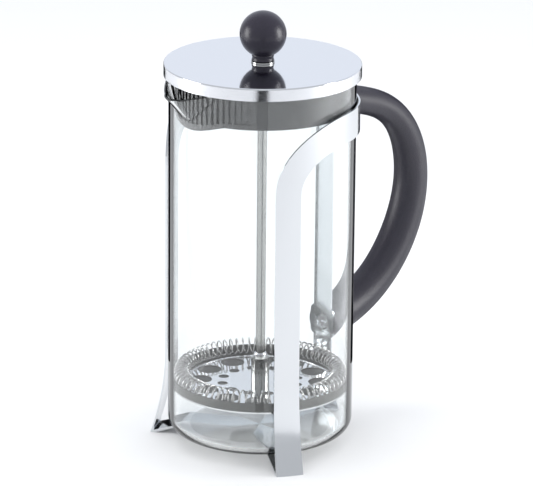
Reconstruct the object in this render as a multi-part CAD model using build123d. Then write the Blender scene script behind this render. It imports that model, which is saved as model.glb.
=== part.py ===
from build123d import *
import math
import os

# French press: a glass beaker in a three-legged steel strap holder with a side handle.
# Millimetres. +Z up, the table is z = 0, and the beaker's axis is x = y = 0.
# The handle points along +X, and the spout is nearly opposite it.

# ---- beaker ----
glass_outer_radius = 49.0
glass_wall = 1.8
glass_base_thickness = 2.6
glass_base_height = 6.5
glass_rim_height = 203.0
glass_corner_radius = 8.0
glass_base_dome = 1.2
glass_foot_width = 12.0

# ---- spout ----
spout_angle = 169.6
spout_reach = 12.0
spout_half_width = 19.0
spout_reach_power = 1.15
spout_width_power = 0.8
spout_back_share = 0.8
spout_bury = 0.4
spout_root_half_width = 2.0
spout_nose_radius = 3.6
spout_root_nose_radius = 0.8
spout_section_shares = (0.0, 0.35, 0.7, 1.0, 1.4)
spout_depth = 18.5
spout_lip_drop = 4.5
spout_slope_start = 7.0

# ---- strap holder ----
strap_clearance = 1.0
strap_thickness = 1.0
strap_width = 13.4
foot_width = 14.6
band_drop = 30.5
band_width = 15.6
shoulder_height = 22.0
shoulder_outer_run = 45.0
shoulder_inner_run = 31.6
leg_spacing = 120.0
flare_start = 47.0
foot_reach = 8.0
foot_land = 2.6
crotch_back = 0.9
crotch_rise = 0.35
crotch_flare_share = 0.93
tongue_gap = 0.1
shoulder_steps = 14

# ---- handle ----
# reach from the strap's outer face, height as a share of the way from the lower screw
# to the upper one, and diameter, along the handle's centre line
handle_stations = (
    (-6.0, 1.007, 16.0),
    (9.0, 0.993, 15.6),
    (27.0, 0.954, 15.0),
    (45.0, 0.887, 15.2),
    (60.1, 0.744, 16.9),
    (65.2, 0.580, 18.3),
    (62.2, 0.404, 19.3),
    (52.5, 0.251, 19.7),
    (38.5, 0.131, 19.6),
    (19.0, 0.043, 20.0),
    (-6.0, -0.016, 20.4),
)
upper_screw_rise = 4.8
lower_screw_height = 54.3
boss_width = 17.6
boss_height = 16.8
boss_corner = 3.0
dish_radius = 6.2
dish_depth = 2.4
dish_root = 0.6
seat_overcut = 0.4
screw_radius = 2.0
screw_head_radius = 4.0
screw_length = 18.0
screw_clearance = 0.1
screw_recess = 0.2
screw_drive_width = 1.2
insert_radius = 3.0
insert_length = 12.0
insert_end_gap = 0.2

# ---- lid ----
lid_overhang = 2.6
lid_height = 6.6
lid_sheet = 0.8
lid_edge_radius = 0.7
lid_seat_gap = 0.1
liner_play = 0.2
liner_glass_clearance = 1.4
liner_wall = 2.0
liner_depth = 18.4
liner_top_thickness = 2.2
liner_seat_height = 2.1
slot_count = 23
slot_pitch_angle = 4.2
slot_width = 1.7
slot_depth = 1.3
slot_lip = 2.4
slot_roof = 1.0
slot_lobe_share = 0.8
lobe_drop = 5.0
lobe_half_angle = 30.0
lobe_steps = 12

# ---- rod guide ----
rod_radius = 2.5
rod_running_clearance = 0.05
bush_radius = 4.5
bush_turning_clearance = 0.1
bush_flange_radius = 6.2
bush_flange_thickness = 0.8
bush_tail = 4.0
clip_radius = 7.0
clip_thickness = 1.2
clip_groove_depth = 0.8
clip_gap = 2.4

# ---- knob ----
knob_radius = 12.2
collar_radius = 5.9
collar_height = 3.3
collar_edge = 0.3
collar_waist_depth = 0.35
collar_knob_step = 0.1
collar_rest_gap = 0.2
knob_insert_radius = 3.6
knob_insert_length = 10.0
rod_end_gap = 0.8

# ---- filter ----
plate_top = 32.7
plate_thickness = 0.8
plate_edge_gap = 0.9
bead_section = 0.45
bead_hole_gap = 0.1
large_hole_radius = 6.4
large_hole_edge_gap = 7.2
small_hole_radius = 2.8
hole_web = 2.5
hole_count = 12
large_hole_start = 12.0
small_hole_start = 27.0
spring_clearance = 0.05
spring_loop_radius = 4.0
spring_wire_radius = 0.35
spring_wall = 0.2
spring_mouth_angle = 60.0
mesh_thickness = 0.4
mesh_glass_clearance = 0.3
mesh_edge_height = 5.2
mesh_outer_bend = 0.8
mesh_inner_bend = 0.6
cross_plate_thickness = 0.9
cross_plate_setback = 0.9
cross_opening_count = 6
cross_opening_radius = 10.0
cross_opening_circle = 26.5
hub_radius = 4.85
hub_height = 14.4
hub_chamfer = 0.9
lock_nut_radius = 3.5
lock_nut_height = 1.8
lock_nut_chamfer = 0.6
lock_nut_flat_share = 0.45
filter_nut_flats = 8.0
filter_nut_height = 4.0
rod_tip = 1.5

# ---- worked-out values ----
glass_inner_radius = glass_outer_radius - glass_wall
strap_inner_radius = glass_outer_radius + strap_clearance
strap_outer_radius = strap_inner_radius + strap_thickness
strap_middle_radius = strap_inner_radius + strap_thickness / 2
strap_half_angle = math.degrees(math.asin(strap_width / 2 / strap_middle_radius))
band_bottom = glass_rim_height - band_drop
band_top = band_bottom + band_width
shoulder_start = band_bottom - shoulder_height
tongue_landing = glass_outer_radius - glass_corner_radius
upper_screw_height = band_bottom + upper_screw_rise
screw_start = strap_inner_radius + screw_recess
screw_head_depth = screw_head_radius - screw_radius
band_start_angle = (
    leg_spacing
    + strap_half_angle
    - math.degrees(shoulder_outer_run / strap_middle_radius)
)
lid_radius = glass_outer_radius + lid_overhang
liner_radius = glass_inner_radius - liner_glass_clearance
liner_bottom = glass_rim_height + lid_seat_gap - liner_depth
lid_seat = glass_rim_height + lid_seat_gap
cap_inner_top = lid_seat + liner_seat_height + liner_top_thickness
lid_top = cap_inner_top + lid_sheet
skirt_bottom = lid_top - lid_height
liner_under = cap_inner_top - liner_top_thickness
bush_hole_radius = bush_radius + bush_turning_clearance
bush_top = lid_top + bush_turning_clearance + bush_flange_thickness
collar_bottom = bush_top + collar_rest_gap
collar_top = collar_bottom + collar_height
knob_flat_radius = collar_radius - collar_knob_step
knob_centre = collar_top + math.sqrt(knob_radius**2 - knob_flat_radius**2)
plate_bottom = plate_top - plate_thickness
mesh_bottom = plate_bottom - mesh_thickness
cross_plate_bottom = mesh_bottom - cross_plate_thickness
filter_nut_bottom = cross_plate_bottom - filter_nut_height
rod_bottom = filter_nut_bottom - rod_tip
mesh_outer_radius = glass_inner_radius - mesh_glass_clearance
mesh_inner_radius = mesh_outer_radius - mesh_thickness
plate_radius = mesh_inner_radius - plate_edge_gap
large_hole_circle = plate_radius - large_hole_edge_gap - large_hole_radius
small_hole_circle = large_hole_circle - large_hole_radius - hole_web - small_hole_radius
bead_centre_radius = large_hole_circle + large_hole_radius + bead_hole_gap + bead_section
cross_plate_radius = mesh_outer_radius - cross_plate_setback
spring_outer_section = spring_loop_radius + spring_wire_radius
spring_centre_radius = mesh_inner_radius - spring_clearance - spring_outer_section
spring_centre_height = plate_top + spring_clearance + spring_outer_section

REACH = 200.0  # longer than any cut needs
rim_overcut = 2.0  # the forms run past the rim, and the rim cut trims them


def turned(points):
    """Solid of revolution about Z from (radius, height) points."""
    outline = Polyline(*[(r, 0, z) for r, z in points], close=True)
    return revolve(make_face(outline), Axis.Z, 360)


def spun(shape, angle):
    """The shape turned about Z."""
    return Rot(0, 0, angle) * shape


def ring(inner, outer, bottom, top):
    """Plain ring, or a disc where inner is 0."""
    body = Pos(0, 0, bottom) * Cylinder(outer, top - bottom, align=(Align.CENTER, Align.CENTER, Align.MIN))
    if inner > 0:
        bore = Pos(0, 0, bottom - 1) * Cylinder(
            inner, top - bottom + 2, align=(Align.CENTER, Align.CENTER, Align.MIN)
        )
        body = body - bore
    return body


# ---- beaker ----
def spout_form(wall):
    """Solid form of the spout on +X, smaller all round by the wall: a folded beak that widens upwards."""
    root = glass_outer_radius - wall
    rise = spout_depth - spout_lip_drop
    sections = []
    for share in spout_section_shares:
        height = glass_rim_height - spout_depth + rise * share
        reach = spout_reach * share**spout_reach_power
        full_half = spout_half_width - wall * 0.6 - spout_root_half_width
        half = spout_root_half_width + full_half * share**spout_width_power
        full_nose = spout_nose_radius - wall * 0.5 - spout_root_nose_radius
        nose = spout_root_nose_radius + full_nose * share
        back = root * spout_back_share
        edge = math.sqrt(root**2 - half**2) - spout_bury
        tip = root + reach - spout_bury
        with BuildSketch(Plane.XY.offset(height)) as sketch:
            with BuildLine():
                FilletPolyline(
                    (back, -half),
                    (edge, -half),
                    (tip, 0),
                    (edge, half),
                    (back, half),
                    radius=(nose * 0.5, nose, nose * 0.5),
                    close=False,
                )
                Line((back, half), (back, -half))
            make_face()
        sections.append(sketch.sketch)
    return loft(sections, ruled=False)


def beaker_form(wall, base):
    """Outer or inner form of the beaker, as turned solid plus spout."""
    radius = glass_outer_radius - wall
    corner = glass_corner_radius - wall
    with BuildSketch(Plane.XZ) as sketch:
        with BuildLine():
            dome_top = (0, base + glass_base_dome)
            Line(dome_top, (0, glass_rim_height + rim_overcut))
            Line((0, glass_rim_height + rim_overcut), (radius, glass_rim_height + rim_overcut))
            Line((radius, glass_rim_height + rim_overcut), (radius, base + corner))
            RadiusArc((radius, base + corner), (radius - corner, base), corner)
            flat_end = (radius - corner - glass_foot_width, base)
            Line((radius - corner, base), flat_end)
            Line(flat_end, dome_top)
        make_face()
    body = revolve(sketch.sketch, Axis.Z, 360)
    return body + spun(spout_form(wall), spout_angle)


def glass_beaker():
    outer = beaker_form(0, glass_base_height)
    inner = beaker_form(glass_wall, glass_base_height + glass_base_thickness)
    body = outer - inner
    # the rim is level, and falls away over the spout to its lip
    start = glass_outer_radius - spout_slope_start
    end = glass_outer_radius + spout_reach
    above = Polyline(
        (-REACH, 0, glass_rim_height),
        (start, 0, glass_rim_height),
        (end, 0, glass_rim_height - spout_lip_drop),
        (end * 2 - start, 0, glass_rim_height - spout_lip_drop * 2),
        (end * 2 - start, 0, glass_rim_height + REACH),
        (-REACH, 0, glass_rim_height + REACH),
        close=True,
    )
    cut = extrude(make_face(above), amount=REACH, dir=(0, 1, 0), both=True)
    return body - spun(cut, spout_angle)


# ---- strap holder ----
def leg_shell():
    """The leg section turned through a sector about Z, wider than the strap."""
    half = strap_thickness / 2
    rise = flare_start - half
    flare_radius = (rise**2 + foot_reach**2) / (2 * foot_reach)
    angle = math.degrees(math.asin(rise / flare_radius))
    centre = strap_middle_radius + flare_radius
    top_height = glass_base_height - tongue_gap
    low_height = top_height - strap_thickness
    outer_foot = (centre - (flare_radius - half) * math.cos(math.radians(angle)), 0.0)
    inner_end = (centre - (flare_radius + half) * math.cos(math.radians(angle)), strap_thickness)
    with BuildSketch(Plane.XZ) as sketch:
        with BuildLine():
            Line((strap_inner_radius, shoulder_start), (strap_outer_radius, shoulder_start))
            Line((strap_outer_radius, shoulder_start), (strap_outer_radius, flare_start))
            outer_mid = angle / 2
            outer_mid_point = (
                centre - (flare_radius - half) * math.cos(math.radians(outer_mid)),
                flare_start - (flare_radius - half) * math.sin(math.radians(outer_mid)),
            )
            ThreePointArc((strap_outer_radius, flare_start), outer_mid_point, outer_foot)
            fold_flat = (outer_foot[0] - foot_land, 0.0)
            Line(outer_foot, fold_flat)
            Line(fold_flat, (tongue_landing, low_height))
            Line((tongue_landing, low_height), (0, low_height))
            Line((0, low_height), (0, top_height))
            Line((0, top_height), (tongue_landing, top_height))
            crotch = (inner_end[0] - crotch_back, strap_thickness + crotch_rise)
            Line((tongue_landing, top_height), crotch)
            inner_mid_point = (
                centre - (flare_radius + half) * math.cos(math.radians(outer_mid)),
                flare_start - (flare_radius + half) * math.sin(math.radians(outer_mid)),
            )
            low_angle = angle * crotch_flare_share
            inner_low = (
                centre - (flare_radius + half) * math.cos(math.radians(low_angle)),
                flare_start - (flare_radius + half) * math.sin(math.radians(low_angle)),
            )
            Line(crotch, inner_low)
            ThreePointArc(inner_low, inner_mid_point, (strap_inner_radius, flare_start))
            Line((strap_inner_radius, flare_start), (strap_inner_radius, shoulder_start))
        make_face()
    return spun(revolve(sketch.sketch, Axis.Z, 60), -30)


def leg_outline(top):
    """Front view of a leg on +X: parallel sides that widen a little to the foot."""
    half_top = strap_width / 2
    half_foot = foot_width / 2
    points = (
        (0, -half_foot, -1),
        (0, half_foot, -1),
        (0, half_top, flare_start),
        (0, half_top, top),
        (0, -half_top, top),
        (0, -half_top, flare_start),
    )
    face = make_face(Polyline(*points, close=True))
    return extrude(face, amount=REACH, dir=(1, 0, 0))


def mitre():
    """Wedge of a third of the circle, on +X, so the three tongues meet at the centre."""
    half = math.radians(leg_spacing / 2)
    far = REACH
    points = (
        (0, 0, -5),
        (far * math.cos(half), far * math.sin(half), -5),
        (far, 0, -5),
        (far * math.cos(half), -far * math.sin(half), -5),
    )
    return extrude(make_face(Polyline(*points, close=True)), amount=REACH * 2, dir=(0, 0, 1))


def plain_leg():
    return leg_shell() & leg_outline(shoulder_start) & mitre()


def strap_ring(bottom, top):
    return ring(strap_inner_radius, strap_outer_radius, bottom, top)


def radial_point(radius, angle, height):
    return (radius * math.cos(math.radians(angle)), radius * math.sin(math.radians(angle)), height)


def shoulder_cutter():
    """Lofted cutter between the two edges of the curved shoulder, which are ellipse quarters."""
    outer_edge = leg_spacing + strap_half_angle
    inner_edge = leg_spacing - strap_half_angle
    near = strap_inner_radius - 3.0
    far = strap_outer_radius + 3.0
    wires = []
    for index in range(shoulder_steps + 1):
        turn = math.radians(90 * index / shoulder_steps)
        across = 1 - math.cos(turn)
        up = math.sin(turn)
        outer_angle = outer_edge - math.degrees(shoulder_outer_run * across / strap_middle_radius)
        inner_end = inner_edge - band_start_angle
        inner_angle = inner_edge - inner_end * across
        outer_height = shoulder_start + (band_top - shoulder_start) * up
        inner_height = shoulder_start + (band_bottom - shoulder_start) * up
        corners = (
            radial_point(near, inner_angle, inner_height),
            radial_point(far, inner_angle, inner_height),
            radial_point(far, outer_angle, outer_height),
            radial_point(near, outer_angle, outer_height),
        )
        wires.append(Wire.make_polygon([Vector(*c) for c in corners], close=True))
    return Solid.make_loft(wires, True)


def band_sector(start_angle, end_angle):
    """Part of the level band between two angles about Z."""
    middle = (start_angle + end_angle) / 2
    half = math.radians((end_angle - start_angle) / 2)
    points = (
        (0, 0, band_bottom),
        (REACH * math.cos(half), -REACH * math.sin(half), band_bottom),
        (REACH * math.cos(half), REACH * math.sin(half), band_bottom),
    )
    wedge = extrude(make_face(Polyline(*points, close=True)), amount=band_width, dir=(0, 0, 1))
    return strap_ring(band_bottom, band_top) & spun(wedge, middle)


def rear_upright_block():
    """Block that holds the upper part of the rear strap, with parallel sides."""
    return Pos(0, 0, shoulder_start) * Box(
        REACH, strap_width, band_top - shoulder_start, align=(Align.MIN, Align.CENTER, Align.MIN)
    )


def left_leg_strap():
    leg = spun(plain_leg(), leg_spacing)
    shoulder = strap_ring(shoulder_start, band_top) & shoulder_cutter()
    band = band_sector(0, band_start_angle) - rear_upright_block()
    return leg + shoulder + band


def right_leg_strap():
    return mirror(left_leg_strap(), about=Plane.XZ)


def screw_cone(height, base_radius, tip_radius, base_x, tip_x):
    """Cone along +X at a screw's height."""
    length = tip_x - base_x
    cone = Cone(base_radius, tip_radius, length, align=(Align.CENTER, Align.CENTER, Align.MIN))
    return Pos(base_x, 0, height) * Rot(0, 90, 0) * cone


def screw_drum(height, radius, start_x, end_x):
    """Cylinder along +X at a screw's height."""
    drum = Cylinder(radius, end_x - start_x, align=(Align.CENTER, Align.CENTER, Align.MIN))
    return Pos(start_x, 0, height) * Rot(0, 90, 0) * drum


def dish_form(height, growth=0.0):
    """Outside of the pressed dish that a screw head sinks into."""
    start = strap_outer_radius - dish_root
    tip = strap_outer_radius + dish_depth
    return screw_cone(height, dish_radius + growth, screw_head_radius + growth, start, tip + growth)


def screw_seat(height):
    """Hollow of a dish: a cone a little larger than the head, and the clearance hole."""
    face = strap_inner_radius - seat_overcut
    hole_radius = screw_radius + screw_clearance
    mouth_radius = screw_head_radius + screw_clearance + seat_overcut * 2
    head = screw_cone(height, mouth_radius, hole_radius, face, face + mouth_radius - hole_radius)
    hole = screw_drum(height, hole_radius, face, strap_outer_radius + dish_depth + 1)
    return head + hole


def boss_plate():
    """Wider rounded plate round the lower screw."""
    outline = Plane.YZ * (Pos(0, lower_screw_height) * RectangleRounded(boss_width, boss_height, boss_corner))
    block = extrude(outline, amount=REACH, dir=(1, 0, 0))
    return strap_ring(lower_screw_height - boss_height, lower_screw_height + boss_height) & block


def rear_leg_strap():
    upright = strap_ring(shoulder_start, band_top) & rear_upright_block()
    body = plain_leg() + upright + boss_plate()
    for height in (upper_screw_height, lower_screw_height):
        body = body + dish_form(height)
    for height in (upper_screw_height, lower_screw_height):
        body = body - screw_seat(height)
    return body


# ---- handle ----
def handle_grip():
    screw_span = upper_screw_height - lower_screw_height
    points = []
    for reach, rise, _ in handle_stations:
        points.append((strap_outer_radius + reach, 0, lower_screw_height + screw_span * rise))
    path = Spline(*points)
    sections = []
    for point, (_, _, diameter) in zip(points, handle_stations):
        direction = path.tangent_at(path.param_at_point(Vector(*point)))
        sections.append(Plane(origin=point, z_dir=direction) * Circle(diameter / 2))
    body = loft(sections)
    body = body - ring(0, strap_outer_radius, -5, glass_rim_height + REACH)
    body = body - leg_shell()
    for height in (upper_screw_height, lower_screw_height):
        body = body - dish_form(height, screw_clearance)
        body = body - screw_drum(height, insert_radius, strap_outer_radius, strap_outer_radius + screw_length)
    return body


def handle_screws():
    solids = []
    cross_span = screw_head_radius * 1.2
    for height in (upper_screw_height, lower_screw_height):
        shank_start = screw_start + screw_head_depth
        head = screw_cone(height, screw_head_radius, screw_radius, screw_start, shank_start)
        shank = screw_drum(height, screw_radius, shank_start, screw_start + screw_length)
        upright = Pos(screw_start, 0, height) * Box(screw_drive_width, screw_drive_width, cross_span)
        level = Pos(screw_start, 0, height) * Box(screw_drive_width, cross_span, screw_drive_width)
        solids.append(head + shank - upright - level)
    return Compound(children=solids)


def handle_inserts():
    solids = []
    start = strap_outer_radius + dish_depth + screw_clearance + insert_end_gap
    for height in (upper_screw_height, lower_screw_height):
        sleeve = screw_drum(height, insert_radius, start, start + insert_length)
        bore = screw_drum(height, screw_radius, start - 1, start + insert_length + 1)
        solids.append(sleeve - bore)
    return Compound(children=solids)


# ---- lid ----
def lid_cap():
    outline = (
        (bush_hole_radius, cap_inner_top),
        (lid_radius - lid_sheet, cap_inner_top),
        (lid_radius - lid_sheet, skirt_bottom),
        (lid_radius, skirt_bottom),
        (lid_radius, lid_top),
        (bush_hole_radius, lid_top),
    )
    body = turned(outline)
    rim = body.edges().filter_by(GeomType.CIRCLE).filter_by(
        lambda e: abs(e.radius - lid_radius) < 0.01 and abs(e.center().Z - lid_top) < 0.01
    )
    return fillet(rim, lid_edge_radius)


def lobe_share(angle):
    """How far the liner's edge hangs down at an angle from the spout, 0 to 1."""
    if abs(angle) >= lobe_half_angle:
        return 0.0
    share = math.cos(math.pi * angle / lobe_half_angle) / 2 + 0.5
    return share**0.6


def liner_edge_waste():
    """What is cut from below the liner: level all round, but for a smooth lobe under the spout, on +X."""
    half_run = liner_radius * math.sin(math.radians(lobe_half_angle))
    low = liner_bottom - lobe_drop - 5
    edge = []
    for index in range(lobe_steps + 1):
        run = half_run * (2 * index / lobe_steps - 1)
        angle = math.degrees(math.asin(run / liner_radius))
        edge.append((0, run, liner_bottom - lobe_drop * lobe_share(angle)))
    sides = Polyline(
        edge[-1],
        (0, REACH / 2, liner_bottom),
        (0, REACH / 2, low),
        (0, -REACH / 2, low),
        (0, -REACH / 2, liner_bottom),
        edge[0],
    )
    face = make_face(Wire([Spline(*edge), *sides.edges()]))
    front = extrude(face, amount=REACH, dir=(1, 0, 0))
    back = Pos(-REACH / 2, 0, low) * Box(
        REACH, REACH * 2, liner_bottom - low, align=(Align.CENTER, Align.CENTER, Align.MIN)
    )
    return [front, back]


def lid_liner():
    flange = lid_radius - lid_sheet - liner_play
    inner = liner_radius - liner_wall
    outline = (
        (bush_hole_radius, liner_under),
        (inner, liner_under),
        (inner, liner_bottom - lobe_drop),
        (liner_radius, liner_bottom - lobe_drop),
        (liner_radius, lid_seat),
        (flange, lid_seat),
        (flange, cap_inner_top),
        (bush_hole_radius, cap_inner_top),
    )
    body = turned(outline)
    for waste in liner_edge_waste():
        body = body - spun(waste, spout_angle)
    for index in range(slot_count):
        angle = (index - (slot_count - 1) / 2) * slot_pitch_angle
        slot_bottom = liner_bottom + slot_lip - lobe_drop * slot_lobe_share * lobe_share(angle)
        slot_top = lid_seat - slot_roof
        slot = Pos(liner_radius, 0, slot_bottom) * Box(
            slot_depth * 2, slot_width, slot_top - slot_bottom, align=(Align.CENTER, Align.CENTER, Align.MIN)
        )
        body = body - spun(slot, spout_angle + angle)
    return body


def rod_bush():
    bore = rod_radius + rod_running_clearance
    groove_top = liner_under - bush_turning_clearance
    groove_radius = bush_radius - clip_groove_depth
    outline = (
        (bore, liner_under - bush_tail),
        (bush_radius, liner_under - bush_tail),
        (bush_radius, groove_top - clip_thickness),
        (groove_radius, groove_top - clip_thickness),
        (groove_radius, groove_top),
        (bush_radius, groove_top),
        (bush_radius, lid_top + bush_turning_clearance),
        (bush_flange_radius, lid_top + bush_turning_clearance),
        (bush_flange_radius, bush_top),
        (bore, bush_top),
    )
    return turned(outline)


def bush_clip():
    top = liner_under - bush_turning_clearance
    clip = ring(bush_radius - clip_groove_depth, clip_radius, top - clip_thickness, top)
    gap = Pos(clip_radius, 0, top) * Box(clip_radius * 2, clip_gap, clip_thickness * 4)
    return clip - gap


# ---- knob ----
def knob_ball():
    ball = Pos(0, 0, knob_centre) * Sphere(knob_radius)
    below = Pos(0, 0, collar_top) * Box(
        knob_radius * 4, knob_radius * 4, knob_radius * 2, align=(Align.CENTER, Align.CENTER, Align.MAX)
    )
    pocket = ring(0, knob_insert_radius, collar_top - 1, collar_top + knob_insert_length)
    return ball - below - pocket


def knob_insert():
    return ring(rod_radius, knob_insert_radius, collar_top, collar_top + knob_insert_length)


def knob_collar():
    middle = (collar_bottom + collar_top) / 2
    outline = (
        (rod_radius, collar_bottom),
        (collar_radius - collar_edge, collar_bottom),
        (collar_radius, collar_bottom + collar_edge),
        (collar_radius - collar_waist_depth, middle),
        (collar_radius, collar_top - collar_edge),
        (knob_flat_radius, collar_top),
        (rod_radius, collar_top),
    )
    return turned(outline)


def plunger_rod():
    return ring(0, rod_radius, rod_bottom, collar_top + knob_insert_length - rod_end_gap)


# ---- filter ----
def rod_lock_nut():
    bottom = plate_top + hub_height
    top = bottom + lock_nut_height
    outline = (
        (rod_radius, bottom),
        (lock_nut_radius, bottom),
        (lock_nut_radius, bottom + lock_nut_height * lock_nut_flat_share),
        (lock_nut_radius - lock_nut_chamfer, top),
        (rod_radius, top),
    )
    return turned(outline)


def filter_hub():
    top = plate_top + hub_height
    outline = (
        (rod_radius, plate_top),
        (hub_radius, plate_top),
        (hub_radius, top - hub_chamfer),
        (hub_radius - hub_chamfer, top),
        (rod_radius, top),
    )
    return turned(outline)


def hole_ring(count, circle, radius, start_angle, bottom, top):
    holes = []
    for index in range(count):
        angle = start_angle + 360 / count * index
        hole = Pos(circle, 0, bottom) * Cylinder(
            radius, top - bottom, align=(Align.CENTER, Align.CENTER, Align.MIN)
        )
        holes.append(spun(hole, angle))
    return holes


def spring_plate():
    body = ring(rod_radius, plate_radius, plate_bottom, plate_top)
    body = body + Pos(0, 0, plate_top) * Torus(bead_centre_radius, bead_section)
    low = plate_bottom - 1
    high = plate_top + 1
    body = body - hole_ring(hole_count, small_hole_circle, small_hole_radius, small_hole_start, low, high)
    return body - hole_ring(hole_count, large_hole_circle, large_hole_radius, large_hole_start, low, high)


def mesh_screen():
    edge_top = mesh_bottom + mesh_edge_height
    outline = (
        (rod_radius, mesh_bottom),
        (mesh_outer_radius - mesh_outer_bend, mesh_bottom),
        (mesh_outer_radius, mesh_bottom + mesh_outer_bend),
        (mesh_outer_radius, edge_top),
        (mesh_inner_radius, edge_top),
        (mesh_inner_radius, plate_bottom + mesh_inner_bend),
        (mesh_inner_radius - mesh_inner_bend, plate_bottom),
        (rod_radius, plate_bottom),
    )
    return turned(outline)


def cross_plate():
    body = ring(rod_radius, cross_plate_radius, cross_plate_bottom, mesh_bottom)
    openings = []
    for index in range(cross_opening_count):
        hole = Pos(cross_opening_circle, 0, cross_plate_bottom - 1) * Cylinder(
            cross_opening_radius, cross_plate_thickness + 2, align=(Align.CENTER, Align.CENTER, Align.MIN)
        )
        openings.append(spun(hole, 360 / cross_opening_count * index))
    return body - openings


def filter_nut():
    across_corners = filter_nut_flats / math.cos(math.radians(30))
    hexagon = Plane.XY.offset(filter_nut_bottom) * RegularPolygon(across_corners / 2, 6)
    nut = extrude(hexagon, amount=filter_nut_height)
    return nut - ring(0, rod_radius, filter_nut_bottom - 1, cross_plate_bottom + 1)


def coil_spring():
    """Envelope of the ring of coils: a thin round channel, open towards the axis."""
    outer = spring_outer_section
    inner = outer - spring_wall
    mouth = math.radians(spring_mouth_angle / 2)

    def rim_point(radius, sign):
        across = spring_centre_radius - radius * math.cos(mouth)
        up = spring_centre_height + sign * radius * math.sin(mouth)
        return (across, up)

    with BuildSketch(Plane.XZ) as sketch:
        with BuildLine():
            outer_side = (spring_centre_radius + outer, spring_centre_height)
            ThreePointArc(rim_point(outer, -1), outer_side, rim_point(outer, 1))
            Line(rim_point(outer, 1), rim_point(inner, 1))
            inner_side = (spring_centre_radius + inner, spring_centre_height)
            ThreePointArc(rim_point(inner, 1), inner_side, rim_point(inner, -1))
            Line(rim_point(inner, -1), rim_point(outer, -1))
        make_face()
    return revolve(sketch.sketch, Axis.Z, 360)


PIECES = {
    "rear_leg_strap": rear_leg_strap,
    "left_leg_strap": left_leg_strap,
    "right_leg_strap": right_leg_strap,
    "handle_grip": handle_grip,
    "handle_screws": handle_screws,
    "handle_inserts": handle_inserts,
    "glass_beaker": glass_beaker,
    "lid_cap": lid_cap,
    "lid_liner": lid_liner,
    "rod_bush": rod_bush,
    "bush_clip": bush_clip,
    "knob_ball": knob_ball,
    "knob_insert": knob_insert,
    "knob_collar": knob_collar,
    "plunger_rod": plunger_rod,
    "rod_lock_nut": rod_lock_nut,
    "filter_hub": filter_hub,
    "spring_plate": spring_plate,
    "coil_spring": coil_spring,
    "mesh_screen": mesh_screen,
    "cross_plate": cross_plate,
    "filter_nut": filter_nut,
}

os.makedirs("parts", exist_ok=True)
for name, make in PIECES.items():
    piece = make()
    export_step(piece, f"parts/{name}.step")
    size = piece.bounding_box().size
    print(f"{name:18s} {size.X:7.1f} {size.Y:7.1f} {size.Z:7.1f}  volume {piece.volume:10.1f}")
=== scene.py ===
# %% [markdown]
# # A French press in a three-legged steel holder
#
# A French press is a glass beaker, a steel holder with a handle, a lid, and a plunger with a
# filter. The CAD model holds the true sizes and the joints, so this lesson starts by loading
# it as a fixed frame. What follows gives each piece its finish, and makes the pieces whose
# looks need finer work than the CAD has: the blown glass and the wound coil.

# %% Load the frame
import math

import bmesh
import bpy
from mathutils import Matrix, Vector


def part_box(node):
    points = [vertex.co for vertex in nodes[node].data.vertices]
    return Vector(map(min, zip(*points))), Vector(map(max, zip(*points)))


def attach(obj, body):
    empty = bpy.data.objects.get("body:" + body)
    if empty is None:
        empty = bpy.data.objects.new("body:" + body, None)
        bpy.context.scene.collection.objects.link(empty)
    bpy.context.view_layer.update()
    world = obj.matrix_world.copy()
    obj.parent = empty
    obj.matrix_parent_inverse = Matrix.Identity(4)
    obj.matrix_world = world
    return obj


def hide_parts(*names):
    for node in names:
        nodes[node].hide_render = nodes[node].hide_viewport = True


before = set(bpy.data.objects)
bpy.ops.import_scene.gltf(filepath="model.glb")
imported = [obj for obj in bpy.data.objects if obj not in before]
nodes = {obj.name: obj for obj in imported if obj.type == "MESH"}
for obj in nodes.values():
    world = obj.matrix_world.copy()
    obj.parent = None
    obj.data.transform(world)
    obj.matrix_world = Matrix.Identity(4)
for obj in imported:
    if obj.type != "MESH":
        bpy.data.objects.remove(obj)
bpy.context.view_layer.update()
MM = 0.001

# %% [markdown]
# ## Places that come from the frame
#
# A piece that meets another one takes its place from the CAD boxes, so nothing is fitted by
# eye. The beaker stands on the axis x = y = 0, and its rim, base and radius are all in its box.

# %% Measure the frame
beaker_low, beaker_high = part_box("glass_beaker")
rim_z = beaker_high.z
base_z = beaker_low.z
glass_radius = beaker_high.y
_, lid_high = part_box("lid_cap")
lid_top_z = lid_high.z
lid_radius = lid_high.x
spring_low, spring_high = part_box("coil_spring")
_, screen_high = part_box("mesh_screen")
print("glass radius", round(glass_radius / MM, 2), "mm, rim at", round(rim_z / MM, 1), "mm")
print("lid radius", round(lid_radius / MM, 2), "mm, top at", round(lid_top_z / MM, 1), "mm")

# %% [markdown]
# ## Helpers for meshes
#
# A bmesh is a mesh that is being worked on. `new_piece` turns a finished bmesh into an object
# whose place is in its mesh, with the object itself at the origin, because that is what the
# frame expects. Smooth shading with a sharp-edge angle keeps round walls round and corners crisp.


# %% Turn a bmesh into a piece
def new_piece(name, shape, smooth_angle=35.0):
    mesh = bpy.data.meshes.new(name)
    shape.to_mesh(mesh)
    shape.free()
    piece = bpy.data.objects.new(name, mesh)
    bpy.context.scene.collection.objects.link(piece)
    mesh.shade_smooth()
    mesh.set_sharp_from_angle(angle=math.radians(smooth_angle))
    print(name, len(mesh.vertices), "vertices", len(mesh.polygons), "faces")
    return piece


def finish_with(piece, material):
    piece.data.materials.clear()
    piece.data.materials.append(material)


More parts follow.
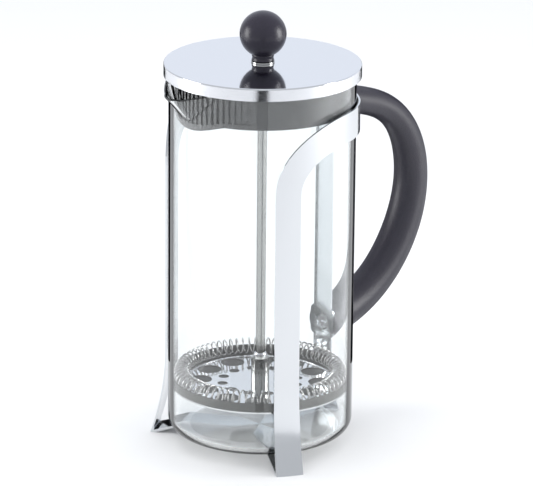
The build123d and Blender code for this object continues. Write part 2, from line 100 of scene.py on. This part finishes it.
def spin_profile(shape, points, steps):
    """Turn a chain of (radius, height) points about Z into a closed skin."""
    verts = [shape.verts.new((radius, 0, height)) for radius, height in points]
    edges = [shape.edges.new(pair) for pair in zip(verts, verts[1:])]
    bmesh.ops.spin(
        shape,
        geom=verts + edges,
        cent=(0, 0, 0),
        axis=(0, 0, 1),
        angle=math.tau,
        steps=steps,
        use_merge=True,
    )
    bmesh.ops.remove_doubles(shape, verts=shape.verts, dist=1e-6)
    bmesh.ops.recalc_face_normals(shape, faces=shape.faces)


def arc(centre, radius, start, end, count):
    """Points on an arc in the (radius, height) plane, with angles in degrees."""
    points = []
    for index in range(count + 1):
        turn = math.radians(start + (end - start) * index / count)
        points.append((centre[0] + radius * math.cos(turn), centre[1] + radius * math.sin(turn)))
    return points


# %% [markdown]
# ## Helpers for materials
#
# Every finish is a small graph of nodes. These helpers add a node with its settings in one
# line, and link a chain of them, so that each material below reads as a short recipe.


# %% Add nodes and links
def add_node(tree, kind, values=None, **settings):
    node = tree.nodes.new(kind)
    for key, value in settings.items():
        setattr(node, key, value)
    for key, value in (values or {}).items():
        node.inputs[key].default_value = value
    return node


def new_material(name):
    material = bpy.data.materials.new(name)
    material.use_nodes = True
    tree = material.node_tree
    shader = tree.nodes["Principled BSDF"]
    place = add_node(tree, "ShaderNodeTexCoord")
    return material, tree, shader, place.outputs["Object"]


def new_group(name, inputs, outputs):
    """A node group with named sockets: each is (name, socket type, default or None)."""
    group = bpy.data.node_groups.new(name, "ShaderNodeTree")
    for label, kind, default in inputs:
        socket = group.interface.new_socket(label, in_out="INPUT", socket_type=kind)
        if default is not None:
            socket.default_value = default
    for label, kind in outputs:
        group.interface.new_socket(label, in_out="OUTPUT", socket_type=kind)
    return group, group.nodes.new("NodeGroupInput"), group.nodes.new("NodeGroupOutput")


def use_group(tree, group, vector, **values):
    node = add_node(tree, "ShaderNodeGroup", node_tree=group)
    tree.links.new(vector, node.inputs["Vector"])
    for key, value in values.items():
        node.inputs[key.replace("_", " ")].default_value = value
    return node


def map_range(tree, value, low, high):
    node = add_node(tree, "ShaderNodeMapRange", {"To Min": low, "To Max": high})
    tree.links.new(value, node.inputs["Value"])
    return node.outputs["Result"]


def calculate(tree, operation, *values):
    """A Math node, whose values are sockets or plain numbers."""
    node = add_node(tree, "ShaderNodeMath", operation=operation)
    for index, value in enumerate(values):
        if isinstance(value, float):
            node.inputs[index].default_value = value
        else:
            tree.links.new(value, node.inputs[index])
    return node.outputs["Value"]


def mix_colours(tree, factor, first, second):
    node = add_node(tree, "ShaderNodeMix", data_type="RGBA")
    node.inputs["A"].default_value = (*first, 1)
    node.inputs["B"].default_value = (*second, 1)
    tree.links.new(factor, node.inputs["Factor"])
    return node.outputs["Result"]


def bump_from(tree, shader, height, strength, distance):
    node = add_node(tree, "ShaderNodeBump", {"Strength": strength, "Distance": distance})
    tree.links.new(height, node.inputs["Height"])
    tree.links.new(node.outputs["Normal"], shader.inputs["Normal"])
    return node


# %% [markdown]
# ## Effects that several finishes share
#
# Three effects turn up again and again on this object. Handling leaves faint smudges on
# polished steel, which show only as a change in gloss. Moulded plastic has a fine pebbled
# grain. Brushed and drawn steel has hair-thin lines that run round the part. Each effect is
# one node group with named inputs, placed in a material with that material's own values.

# %% Smudges
smudges, group_in, group_out = new_group(
    "handling_smudges",
    [("Vector", "NodeSocketVector", None), ("Size", "NodeSocketFloat", 60.0)],
    [("Mask", "NodeSocketFloat")],
)
wide = add_node(smudges, "ShaderNodeTexNoise", {"Detail": 4.0, "Roughness": 0.6, "Distortion": 0.4})
smudges.links.new(group_in.outputs["Vector"], wide.inputs["Vector"])
smudges.links.new(group_in.outputs["Size"], wide.inputs["Scale"])
contrast = add_node(smudges, "ShaderNodeMapRange", {"From Min": 0.35, "From Max": 0.7})
smudges.links.new(wide.outputs["Fac"], contrast.inputs["Value"])
smudges.links.new(contrast.outputs["Result"], group_out.inputs["Mask"])
print("smudges:", len(smudges.nodes), "nodes")

# %% Pebbled grain
pebbles, group_in, group_out = new_group(
    "pebbled_grain",
    [("Vector", "NodeSocketVector", None), ("Size", "NodeSocketFloat", 1500.0)],
    [("Height", "NodeSocketFloat"), ("Tone", "NodeSocketFloat")],
)
cells = add_node(pebbles, "ShaderNodeTexVoronoi", feature="SMOOTH_F1")
fine = add_node(pebbles, "ShaderNodeTexNoise", {"Detail": 3.0, "Roughness": 0.65})
for texture in (cells, fine):
    pebbles.links.new(group_in.outputs["Vector"], texture.inputs["Vector"])
    pebbles.links.new(group_in.outputs["Size"], texture.inputs["Scale"])
both = calculate(pebbles, "MULTIPLY", cells.outputs["Distance"], fine.outputs["Fac"])
pebbles.links.new(both, group_out.inputs["Height"])
pebbles.links.new(fine.outputs["Fac"], group_out.inputs["Tone"])
print("pebbled grain:", len(pebbles.nodes), "nodes")

# %% Lines that run round the axis
brushing, group_in, group_out = new_group(
    "brushed_round",
    [
        ("Vector", "NodeSocketVector", None),
        ("Lines", "NodeSocketFloat", 6000.0),
        ("Run", "NodeSocketFloat", 3.0),
    ],
    [("Height", "NodeSocketFloat")],
)
split = add_node(brushing, "ShaderNodeSeparateXYZ")
brushing.links.new(group_in.outputs["Vector"], split.inputs["Vector"])
around = calculate(brushing, "ARCTAN2", split.outputs["Y"], split.outputs["X"])
stretched = calculate(brushing, "MULTIPLY", around, group_in.outputs["Run"])
raised = calculate(brushing, "MULTIPLY", split.outputs["Z"], group_in.outputs["Lines"])
joined = add_node(brushing, "ShaderNodeCombineXYZ")
brushing.links.new(stretched, joined.inputs["X"])
brushing.links.new(raised, joined.inputs["Y"])
hairs = add_node(brushing, "ShaderNodeTexNoise", {"Scale": 1.0, "Detail": 3.0, "Roughness": 0.7})
brushing.links.new(joined.outputs["Vector"], hairs.inputs["Vector"])
brushing.links.new(hairs.outputs["Fac"], group_out.inputs["Height"])
print("brushed lines:", len(brushing.nodes), "nodes")

# %% [markdown]
# ## Steel finishes
#
# The straps, the rod and the filter are stainless steel. Polished steel is a metal whose
# colour hardly changes, so what tells the finishes apart is gloss: a mirror on top of the
# lid, a soft polish on the straps, a brushed skirt and a duller, woven screen. The smudges
# move the roughness by a few hundredths, as fingers do.


# %% Polished steel
def polished_steel(name, colour, smooth, dull, lines=0.0):
    material, tree, shader, place = new_material(name)
    shader.inputs["Base Color"].default_value = (*colour, 1)
    shader.inputs["Metallic"].default_value = 1.0
    marks = use_group(tree, smudges, place, Size=70.0)
    tree.links.new(map_range(tree, marks.outputs["Mask"], smooth, dull), shader.inputs["Roughness"])
    if lines > 0:
        hair = use_group(tree, brushing, place, Lines=5000.0, Run=6.0)
        bump_from(tree, shader, hair.outputs["Height"], lines, 0.00005)
    return material


strap_steel = polished_steel("strap_steel", (0.70, 0.715, 0.735), 0.10, 0.16, lines=0.03)
rod_steel = polished_steel("rod_steel", (0.46, 0.46, 0.45), 0.10, 0.16, lines=0.08)
plate_steel = polished_steel("plate_steel", (0.72, 0.72, 0.73), 0.07, 0.13)
screw_steel = polished_steel("screw_steel", (0.70, 0.70, 0.72), 0.18, 0.28, lines=0.15)
wire_steel = polished_steel("wire_steel", (0.62, 0.61, 0.60), 0.16, 0.24)
brass = polished_steel("insert_brass", (0.78, 0.57, 0.28), 0.20, 0.30)


# %% Lid steel, a mirror on top and brushed on the skirt
def lid_finish():
    material, tree, shader, place = new_material("lid_steel")
    shader.inputs["Base Color"].default_value = (0.78, 0.79, 0.82, 1)
    shader.inputs["Metallic"].default_value = 1.0
    height = add_node(tree, "ShaderNodeSeparateXYZ")
    tree.links.new(place, height.inputs["Vector"])
    skirt_ends = lid_top_z - 1.0 * MM
    mirror_starts = lid_top_z - 0.4 * MM
    skirt = add_node(
        tree,
        "ShaderNodeMapRange",
        {"From Min": skirt_ends, "From Max": mirror_starts, "To Min": 1.0, "To Max": 0.0},
    )
    tree.links.new(height.outputs["Z"], skirt.inputs["Value"])
    marks = use_group(tree, smudges, place, Size=45.0)
    mirror = map_range(tree, marks.outputs["Mask"], 0.045, 0.085)
    blend = add_node(tree, "ShaderNodeMix", {"B": 0.13})
    tree.links.new(skirt.outputs["Result"], blend.inputs["Factor"])
    tree.links.new(mirror, blend.inputs["A"])
    tree.links.new(blend.outputs["Result"], shader.inputs["Roughness"])
    hair = use_group(tree, brushing, place, Lines=7000.0, Run=5.0)
    masked = calculate(tree, "MULTIPLY", hair.outputs["Height"], skirt.outputs["Result"])
    bump_from(tree, shader, masked, 0.5, 0.00008)
    return material


lid_steel = lid_finish()


# %% [markdown]
# ## The woven screen
#
# The screen is a fine plain weave of steel wire, about 0.5 mm from wire to wire. At this
# distance the eye sees a grey with a faint twinkle, but close up the wires are there. Two
# wave patterns at right angles make the wires: on the flat of the screen they follow X and Y,
# and on its upturned edge they follow the way round and the way up.


# %% Woven steel
def woven_finish():
    material, tree, shader, place = new_material("screen_steel")
    shader.inputs["Metallic"].default_value = 1.0
    parts = add_node(tree, "ShaderNodeSeparateXYZ")
    tree.links.new(place, parts.inputs["Vector"])
    turn = calculate(tree, "ARCTAN2", parts.outputs["Y"], parts.outputs["X"])
    pitch = 0.55 * MM
    waves = []
    for source, scale in (
        (turn, screen_high.x * math.tau / pitch),
        (parts.outputs["Z"], math.tau / pitch),
        (parts.outputs["X"], math.tau / pitch),
        (parts.outputs["Y"], math.tau / pitch),
    ):
        waves.append(calculate(tree, "SINE", calculate(tree, "MULTIPLY", source, scale)))
    edge_weave = calculate(tree, "MULTIPLY", *waves[:2])
    flat_weave = calculate(tree, "MULTIPLY", *waves[2:])
    geometry = add_node(tree, "ShaderNodeNewGeometry")
    facing = add_node(tree, "ShaderNodeSeparateXYZ")
    tree.links.new(geometry.outputs["Normal"], facing.inputs["Vector"])
    level = calculate(tree, "ABSOLUTE", facing.outputs["Z"])
    pick = add_node(tree, "ShaderNodeMix")
    tree.links.new(level, pick.inputs["Factor"])
    tree.links.new(edge_weave, pick.inputs["A"])
    tree.links.new(flat_weave, pick.inputs["B"])
    shade = add_node(
        tree, "ShaderNodeMapRange", {"From Min": -1.0, "From Max": 1.0, "To Min": 0.0, "To Max": 1.0}
    )
    tree.links.new(pick.outputs["Result"], shade.inputs["Value"])
    # The weave pattern is real, but its colour is partly painted shade: the low parts go near black,
    # standing in for the shade between the wires.
    tint = mix_colours(tree, shade.outputs["Result"], (0.04, 0.04, 0.04), (0.26, 0.26, 0.25))
    tree.links.new(tint, shader.inputs["Base Color"])
    tree.links.new(map_range(tree, shade.outputs["Result"], 0.55, 0.3), shader.inputs["Roughness"])
    bump_from(tree, shader, shade.outputs["Result"], 0.7, 0.0002)
    return material


woven_steel = woven_finish()


# %% [markdown]
# ## Plastics and glass
#
# The handle is a matte moulding with a fine pebbled grain. The knob is the same dark plastic
# with a closer polish, and the lid's liner is smoother still. The beaker is borosilicate
# glass: its own numbers stay plain, with full transmission, and a faint waviness in the
# normal is what sets blown glass apart from a perfect tube. Seen edge on, such a wall often
# looks dark. The material paints that shade on as a shortcut: the outer skin's colour darkens
# where the facing value of a Layer Weight node is high, which real glass doesn't do by itself.


# %% Moulded plastics
def moulded_plastic(name, dark, light, smooth, dull, size, depth):
    material, tree, shader, place = new_material(name)
    grain = use_group(tree, pebbles, place, Size=size)
    tint = mix_colours(tree, grain.outputs["Tone"], dark, light)
    tree.links.new(tint, shader.inputs["Base Color"])
    marks = use_group(tree, smudges, place, Size=40.0)
    tree.links.new(map_range(tree, marks.outputs["Mask"], smooth, dull), shader.inputs["Roughness"])
    bump_from(tree, shader, grain.outputs["Height"], depth, 0.00025)
    return material


handle_plastic = moulded_plastic(
    "handle_plastic", (0.013, 0.012, 0.020), (0.034, 0.031, 0.045), 0.36, 0.46, 1300.0, 0.55
)
knob_plastic = moulded_plastic(
    "knob_plastic", (0.012, 0.010, 0.020), (0.030, 0.026, 0.042), 0.27, 0.35, 1500.0, 0.25
)
liner_plastic = moulded_plastic(
    "liner_plastic", (0.006, 0.006, 0.007), (0.012, 0.012, 0.013), 0.10, 0.15, 1800.0, 0.05
)
liner_plastic.node_tree.nodes["Principled BSDF"].inputs["IOR"].default_value = 2.0


# %% Glass
def glass_finish():
    material, tree, shader, place = new_material("beaker_glass")
    clear = (0.97, 0.985, 0.985)
    black = (0.0, 0.0, 0.0)
    shader.inputs["Base Color"].default_value = (*clear, 1)
    shader.inputs["Metallic"].default_value = 0.0
    shader.inputs["Roughness"].default_value = 0.0
    shader.inputs["IOR"].default_value = 1.47
    shader.inputs["Transmission Weight"].default_value = 1.0
    # Painted shade: the outer front skin's colour goes black where the wall is seen edge on.
    facing = add_node(tree, "ShaderNodeLayerWeight", {"Blend": 0.5})
    edge = add_node(
        tree,
        "ShaderNodeMapRange",
        {"From Min": 0.60, "From Max": 0.70, "To Min": 0.0, "To Max": 1.0},
        interpolation_type="SMOOTHSTEP",
    )
    tree.links.new(facing.outputs["Facing"], edge.inputs["Value"])
    flat_place = add_node(tree, "ShaderNodeVectorMath", {1: (1, 1, 0)}, operation="MULTIPLY")
    tree.links.new(place, flat_place.inputs[0])
    side = add_node(tree, "ShaderNodeNewGeometry")
    outward = add_node(tree, "ShaderNodeVectorMath", operation="DOT_PRODUCT")
    tree.links.new(flat_place.outputs["Vector"], outward.inputs[0])
    tree.links.new(side.outputs["Normal"], outward.inputs[1])
    outside = calculate(tree, "GREATER_THAN", outward.outputs["Value"], 0.0)
    front = calculate(tree, "SUBTRACT", 1.0, side.outputs["Backfacing"])
    outer_front = calculate(tree, "MULTIPLY", outside, front)
    painted_edge_shade = calculate(tree, "MULTIPLY", outer_front, edge.outputs["Result"])
    tree.links.new(mix_colours(tree, painted_edge_shade, clear, black), shader.inputs["Base Color"])
    ripple = add_node(tree, "ShaderNodeTexNoise", {"Scale": 22.0, "Detail": 1.0})
    tree.links.new(place, ripple.inputs["Vector"])
    bump_from(tree, shader, ripple.outputs["Fac"], 0.04, 0.0006)
    return material


beaker_glass = glass_finish()
print("materials:", sorted(m.name for m in bpy.data.materials))

# %% [markdown]
# ## The beaker
#
# A beaker like this is blown in a turned mould, then its spout is pulled while the rim is
# soft. The same order works here: spin one closed profile about the axis, with the inner and
# outer wall joined by a round, fire-polished rim, and then push the skin outwards where the
# spout is. The push is largest at the spout's middle line and fades at its sides and down the
# wall, and the rim dips where it is pushed, as pulled glass does.

# %% Sizes of the glass
glass_wall = 1.8 * MM
glass_floor = 2.6 * MM
glass_corner = 8.0 * MM
glass_dome = 1.2 * MM
spout_angle = math.radians(169.6)
spout_depth = 18.5 * MM
spout_reach = 12.0 * MM
spout_dip = 4.5 * MM
spout_root_half = 2.0 * MM
spout_half = 19.0 * MM
spout_nose = 0.075
spout_reach_power = 1.15
spout_width_power = 0.8
spout_side_limit = 0.6
base_flat_inset = 6.0 * MM
wall_rows = 6
spout_rows = 26
arc_steps = 8
round_steps = 240


# %% Spin the beaker
def wall_points(radius, start, end, rows, first=1):
    """Points up or down a straight wall, which leave out its end."""
    return [(radius, start + (end - start) * row / rows) for row in range(first, rows)]


def beaker_profile():
    outer = glass_radius
    inner = outer - glass_wall
    corner = outer - glass_corner
    base_flat = corner - base_flat_inset
    floor_z = base_z + glass_floor
    dome_shoulder = glass_dome * 0.6
    wall_start = base_z + glass_corner
    spout_start = rim_z - spout_depth - 2 * MM
    crown = rim_z - glass_wall / 2
    inner_corner = glass_corner - glass_wall
    inner_start = floor_z + inner_corner
    points = [(0.0, base_z + glass_dome), (corner * 0.5, base_z + dome_shoulder), (base_flat, base_z)]
    points += arc((corner, wall_start), glass_corner, -90, 0, arc_steps)
    points += wall_points(outer, wall_start, spout_start, wall_rows)
    points += wall_points(outer, spout_start, crown, spout_rows, first=0)
    points += arc((outer - glass_wall / 2, crown), glass_wall / 2, 0, 180, arc_steps)
    points += wall_points(inner, crown, spout_start, spout_rows)
    points += wall_points(inner, spout_start, inner_start, wall_rows, first=0)
    points += arc((corner, inner_start), inner_corner, 0, -90, arc_steps)
    points += [(base_flat, floor_z), (corner * 0.5, floor_z + dome_shoulder), (0.0, floor_z + glass_dome)]
    return points


beaker_shape = bmesh.new()
spin_profile(beaker_shape, beaker_profile(), round_steps)
print("beaker skin:", len(beaker_shape.faces), "faces")


# %% Pull the spout
def beak_push(turn, share):
    """How far the skin moves out at an angle from the spout's middle and a share of its height."""
    reach = spout_reach * share**spout_reach_power
    half = spout_root_half + (spout_half - spout_root_half) * share**spout_width_power
    side = math.sqrt(glass_radius**2 - half**2)
    tip = glass_radius + reach
    round_turn = math.sqrt(turn**2 + spout_nose**2) - spout_nose
    line = tip * half / (half * math.cos(round_turn) + (tip - side) * math.sin(round_turn))
    push = line - glass_radius
    return max(0.0, push) if turn < math.asin(half / glass_radius) else 0.0


for vert in beaker_shape.verts:
    radius = math.hypot(vert.co.x, vert.co.y)
    share = (vert.co.z - rim_z + spout_depth) / (spout_depth - spout_dip)
    turn = math.atan2(vert.co.y, vert.co.x) - spout_angle
    turn = abs((turn + math.pi) % math.tau - math.pi)
    if share > 0 and turn < spout_side_limit and radius > glass_radius / 2:
        push = beak_push(turn, share)
        dip = spout_dip * min(1.0, push / spout_reach) * min(1.0, share)
        push = beak_push(turn, max(0.0, share - dip / (spout_depth - spout_dip)))
        vert.co.x *= (radius + push) / radius
        vert.co.y *= (radius + push) / radius
        vert.co.z -= dip
beaker = new_piece("blown_beaker", beaker_shape, smooth_angle=60)
finish_with(beaker, beaker_glass)
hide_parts("glass_beaker")
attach(beaker, "beaker")
beaker.visible_shadow = False

# %% [markdown]
# ## The coil spring
#
# Round the filter's edge runs a ring of fine wire, wound into small loops, that presses the
# screen against the glass. The CAD holds its outer shape as a thin channel. Here the wire
# itself follows a helix bent into a circle: as the point goes round the press once, it goes
# round the small loop many times. A curve with a round bevel gives the wire its thickness,
# and the ring sits a little higher than the channel so that its loops clear the screen.

# %% Wind the coil
coil_turns = 77
wire_radius = 0.42 * MM
loop_radius = (spring_high.z - spring_low.z) / 2 - wire_radius
ring_radius = spring_high.x - loop_radius - wire_radius
ring_lift = 0.8 * MM
ring_z = (spring_high.z + spring_low.z) / 2 + ring_lift
points_per_turn = 20


def coil_point(share):
    around = math.tau * share
    looped = around * coil_turns
    radius = ring_radius + loop_radius * math.cos(looped)
    height = ring_z + loop_radius * math.sin(looped)
    return (radius * math.cos(around), radius * math.sin(around), height)


wire = bpy.data.curves.new("coil_wire", "CURVE")
wire.dimensions = "3D"
wire.bevel_depth = wire_radius
wire.bevel_resolution = 1
line = wire.splines.new("POLY")
coil_points = coil_turns * points_per_turn
line.points.add(coil_points - 1)
for index, point in enumerate(line.points):
    point.co = (*coil_point(index / coil_points), 1)
line.use_cyclic_u = True
coil_curve = bpy.data.objects.new("coil_curve", wire)
bpy.context.scene.collection.objects.link(coil_curve)
bpy.context.view_layer.update()
depsgraph = bpy.context.evaluated_depsgraph_get()
coil_mesh = bpy.data.meshes.new_from_object(coil_curve.evaluated_get(depsgraph))
bpy.data.objects.remove(coil_curve)
coil_mesh.shade_smooth()
coil = bpy.data.objects.new("wound_coil", coil_mesh)
bpy.context.scene.collection.objects.link(coil)
finish_with(coil, wire_steel)
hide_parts("coil_spring")
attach(coil, "plunger")
print("coil:", coil_turns, "turns,", len(coil_mesh.polygons), "faces")

# %% [markdown]
# ## Finishes on the CAD pieces
#
# The other pieces already have the right shape, so they only take a finish. A CAD node is
# never moved or reshaped: only its material slots change.

# %% Dress the CAD nodes
finishes = {
    "rear_leg_strap": strap_steel,
    "left_leg_strap": strap_steel,
    "right_leg_strap": strap_steel,
    "handle_grip": handle_plastic,
    "handle_screws": screw_steel,
    "handle_inserts": brass,
    "lid_cap": lid_steel,
    "lid_liner": liner_plastic,
    "rod_bush": rod_steel,
    "bush_clip": screw_steel,
    "knob_ball": knob_plastic,
    "knob_insert": brass,
    "knob_collar": knob_plastic,
    "plunger_rod": rod_steel,
    "rod_lock_nut": screw_steel,
    "filter_hub": rod_steel,
    "spring_plate": plate_steel,
    "mesh_screen": woven_steel,
    "cross_plate": plate_steel,
    "filter_nut": screw_steel,
}
for node, material in finishes.items():
    finish_with(nodes[node], material)
print("dressed", len(finishes), "CAD nodes")

# %% [markdown]
# ## The studio
#
# The press stands on a pale floor under soft light. Polished steel and glass show what is
# round them, so the studio is most of their look. The camera looks down, so upright steel
# shows the pale floor, and the lid's top shows the bright backdrop behind. The soft lights
# keep the shadows open.

# %% Floor
floor_shape = bmesh.new()
bmesh.ops.create_grid(floor_shape, x_segments=1, y_segments=1, size=6.0)
floor = new_piece("studio_floor", floor_shape)
floor_material, _, floor_shader, _ = new_material("pale_floor")
floor_shader.inputs["Base Color"].default_value = (0.86, 0.86, 0.86, 1)
floor_shader.inputs["Roughness"].default_value = 0.9
floor_shader.inputs["Specular IOR Level"].default_value = 0.0
finish_with(floor, floor_material)

# %% Camera
azimuth = math.radians(-46.0)
elevation = math.radians(18.10)
camera_distance = 2.230
camera_roll = math.radians(0.53)
aim_sideways = 0.00276
aim_height = 0.10936
sideways = Vector((math.cos(azimuth), math.sin(azimuth), 0))
level_back = Vector((math.sin(azimuth), -math.cos(azimuth), 0))
backwards = level_back * math.cos(elevation) + Vector((0, 0, math.sin(elevation)))
aim = sideways * aim_sideways + Vector((0, 0, aim_height))
camera_data = bpy.data.cameras.new("studio_camera")
camera_data.lens = 286.2
camera_data.sensor_width = 36.0
camera = bpy.data.objects.new("studio_camera", camera_data)
upright = backwards.to_track_quat("Z", "Y").to_matrix().to_4x4()
camera.matrix_world = (
    Matrix.Translation(aim + backwards * camera_distance)
    @ upright
    @ Matrix.Rotation(camera_roll, 4, "Z")
)
bpy.context.scene.collection.objects.link(camera)
bpy.context.scene.camera = camera


# %% Soft lights
def studio_place(turn, distance, height):
    """A point at an angle from the camera's side of the press, anticlockwise from above."""
    angle = math.radians(turn) + math.atan2(backwards.y, backwards.x)
    return Vector((distance * math.cos(angle), distance * math.sin(angle), height))


def soft_light(name, place, width, height, power, target=Vector((0, 0, 0.1))):
    data = bpy.data.lights.new(name, "AREA")
    data.shape = "RECTANGLE"
    data.size = width
    data.size_y = height
    data.energy = power
    light = bpy.data.objects.new(name, data)
    direction = (place - target).to_track_quat("Z", "Y").to_matrix().to_4x4()
    light.matrix_world = Matrix.Translation(place) @ direction
    bpy.context.scene.collection.objects.link(light)
    return light


overhead = soft_light("overhead_softbox", Vector((0, 0, 1.6)), 2.0, 2.0, 18.0)
overhead.visible_glossy = False
soft_light("left_softbox", studio_place(-88, 1.1, 0.30), 0.5, 0.6, 5.0)
soft_light("right_softbox", studio_place(88, 1.1, 0.30), 0.5, 0.6, 6.5)

# %% World, bright behind the press and grey elsewhere
world = bpy.data.worlds.new("studio_world")
world.use_nodes = True
sky = world.node_tree
backdrop_height = math.radians(22)
backdrop_edge = math.cos(math.radians(46))
backdrop_full = math.cos(math.radians(40))
direction = add_node(sky, "ShaderNodeTexCoord")
towards = -Vector((backwards.x, backwards.y, 0)).normalized() * math.cos(backdrop_height)
towards.z = math.sin(backdrop_height)
along = add_node(sky, "ShaderNodeVectorMath", {1: towards}, operation="DOT_PRODUCT")
sky.links.new(direction.outputs["Generated"], along.inputs[0])
backdrop = add_node(sky, "ShaderNodeMapRange", {"From Min": backdrop_edge, "From Max": backdrop_full})
sky.links.new(along.outputs["Value"], backdrop.inputs["Value"])
paint = mix_colours(sky, backdrop.outputs["Result"], (0.64, 0.66, 0.69), (0.90, 0.95, 1.04))
sky.links.new(paint, sky.nodes["Background"].inputs["Color"])
bpy.context.scene.world = world
bpy.context.scene.view_settings.view_transform = "Standard"

# %% [markdown]
# ## Dark cards for the steel
#
# A photographer puts black card round polished steel, because a mirror with nothing dark to
# show looks flat. A wedge on the floor in front draws the dark line down the middle of the
# lid's skirt. Two cards behind darken the ends of every round part. Only reflections see the
# cards: the camera, the shadows and the light through the glass don't.

# %% Dark cards
card_material, _, card_shader, _ = new_material("black_card")
card_shader.inputs["Base Color"].default_value = (0.004, 0.004, 0.005, 1)
card_shader.inputs["Specular IOR Level"].default_value = 0.0


def dark_card(name, shape):
    card = new_piece(name, shape)
    finish_with(card, card_material)
    card.visible_camera = False
    card.visible_shadow = False
    card.visible_diffuse = False
    card.visible_transmission = False


def standing_card(name, turn, distance, width, height):
    shape = bmesh.new()
    bmesh.ops.create_grid(shape, x_segments=1, y_segments=1, size=0.5)
    bmesh.ops.scale(shape, vec=(width, height, 1), verts=shape.verts)
    centre = studio_place(turn, distance, height / 2)
    facing = Vector((centre.x, centre.y, 0)).to_track_quat("Z", "Y").to_matrix().to_4x4()
    shape.transform(Matrix.Translation(centre) @ facing)
    dark_card(name, shape)


standing_card("left_card", -155, 0.14, 0.10, 0.20)
standing_card("right_card", 155, 0.14, 0.10, 0.20)
wedge = bmesh.new()
wedge_lift = 0.4 * MM
wedge_ends = ((0, 0.05), (-7, 2.0), (7, 2.0))
wedge_corners = [studio_place(turn, length, wedge_lift) for turn, length in wedge_ends]
wedge.faces.new([wedge.verts.new(corner) for corner in wedge_corners])
dark_card("front_wedge", wedge)
